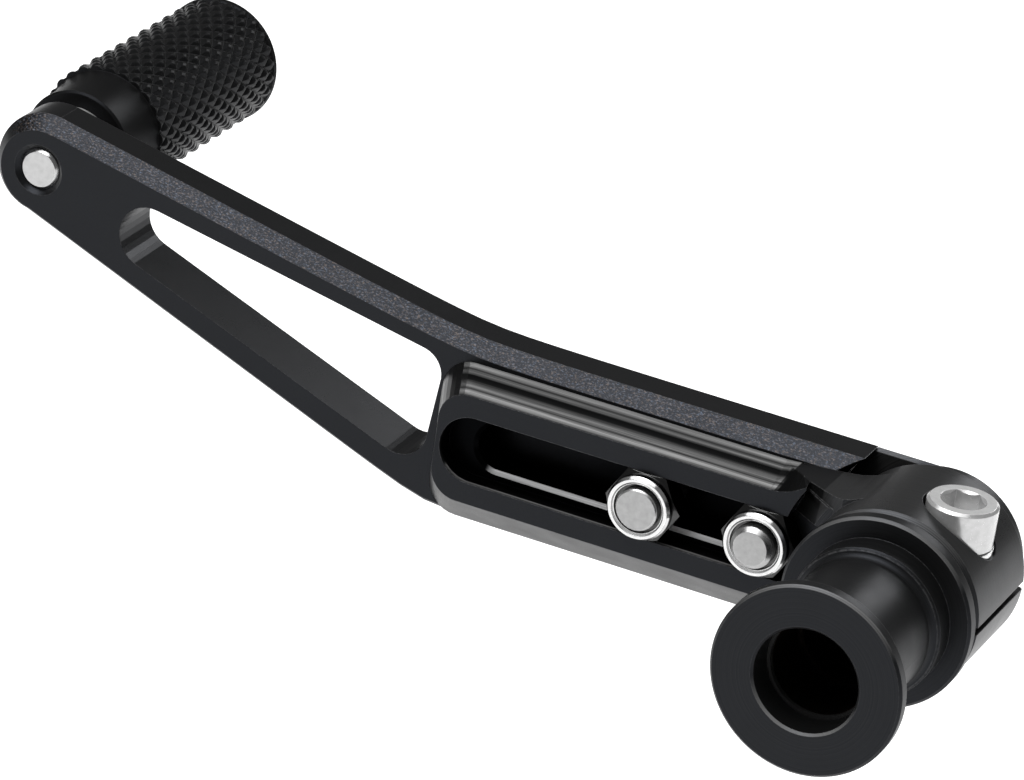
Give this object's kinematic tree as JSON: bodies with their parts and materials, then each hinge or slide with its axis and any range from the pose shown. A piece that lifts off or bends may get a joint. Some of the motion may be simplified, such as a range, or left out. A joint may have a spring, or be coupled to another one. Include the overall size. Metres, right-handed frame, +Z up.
{
  "type": "gear shift lever",
  "caption": "Foot gear shift lever: windowed toe arm bolted through a slotted clamp arm for length, pinch hub on a flanged pivot sleeve, knurled turning toe peg.",
  "frame": {"origin": "on the pivot axis, in the plane where the clamp arm's plate meets the toe arm", "axes": "+Y along the pivot axis from the sleeve's open end towards the toe peg's side, -X along the adjusting slot towards the toe peg, +Z up"},
  "size_m": [0.2134, 0.1335, 0.0548],
  "materials": {
    "black_anodised": "machined, black anodised, satin",
    "stainless": "polished stainless steel",
    "bronze": "sintered bronze, dark with oil",
    "seal_rubber": "matt black"
  },
  "bodies": {
    "sleeve": {"pivot_sleeve": "black_anodised", "bore_seal": "seal_rubber", "front_bush": "bronze", "rear_bush": "bronze", "spigot_circlip": "stainless"},
    "clamp": {"clamp_arm": "black_anodised", "pinch_screw": "stainless", "pinch_washer": "stainless"},
    "toe": {"toe_arm": "black_anodised", "outer_slot_screw": "stainless", "inner_slot_screw": "stainless", "outer_slot_nut": "stainless", "inner_slot_nut": "stainless", "outer_slot_washer": "stainless", "inner_slot_washer": "stainless", "peg_bolt": "stainless", "peg_spacer": "stainless", "peg_end_washer": "stainless"},
    "peg": {"toe_peg": "black_anodised", "inner_peg_bush": "bronze", "outer_peg_bush": "bronze"}
  },
  "joints": [
    {"name": "angle_set", "type": "hinge", "parent": "sleeve", "child": "clamp", "pos_m": [0, 0, 0], "axis": [0, 1, 0], "range_deg": [-8, 8]},
    {"name": "length_slide", "type": "slide", "parent": "clamp", "child": "toe", "axis": [-1, 0, 0], "range_m": [0, 0.03]},
    {"name": "peg_spin", "type": "hinge", "parent": "toe", "child": "peg", "pos_m": [-0.1828, 0.045, 0.023], "axis": [0, 1, 0], "continuous": true}
  ]
}
